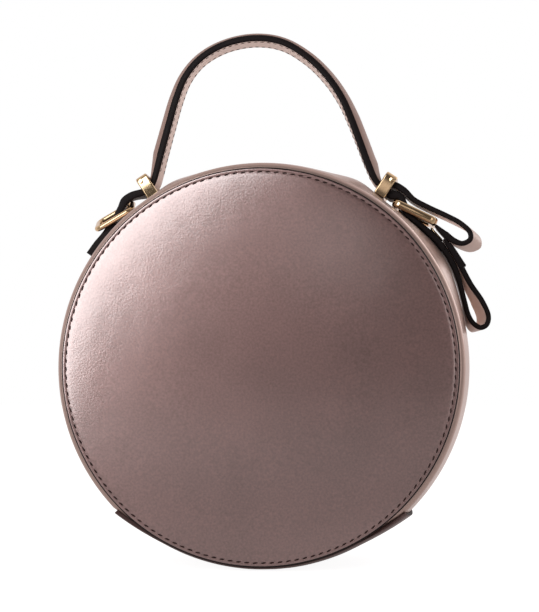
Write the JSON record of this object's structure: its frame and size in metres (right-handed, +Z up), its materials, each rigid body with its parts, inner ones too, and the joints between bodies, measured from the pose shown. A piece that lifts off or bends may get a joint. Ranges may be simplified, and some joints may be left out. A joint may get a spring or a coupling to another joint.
{
  "type": "round handbag",
  "caption": "Round drum-shaped leather handbag with sewn disc panels, a padded arched top handle on staple brackets, a side buckle and folded strap loops.",
  "frame": {"origin": "middle of the flattened underside that the bag stands on", "axes": "+Z up, front panel facing -Y, buckle and strap loops on the +X side"},
  "size_m": [0.2274, 0.0914, 0.2791],
  "materials": {
    "body_leather": "smooth metallic rose taupe with a soft sheen",
    "strap_leather": "smooth pale metallic rose with dark painted edges",
    "base_leather": "smooth dark metallic taupe",
    "gold_metal": "polished pale gold plating",
    "zip_cloth": "woven taupe zip tape"
  },
  "bodies": {
    "root": {"front_panel": "body_leather", "back_panel": "body_leather", "gusset": "body_leather", "zip_closure": "zip_cloth", "base_panel": "base_leather", "handle": "strap_leather", "bracket_left": "gold_metal", "bracket_right": "gold_metal", "tab_left": "strap_leather", "tab_right": "strap_leather", "ring_left": "gold_metal", "buckle_right": "gold_metal", "buckle_prong": "gold_metal", "strap_upper_loop": "strap_leather", "strap_lower_loop": "strap_leather", "strap_keeper": "strap_leather"}
  },
  "joints": []
}
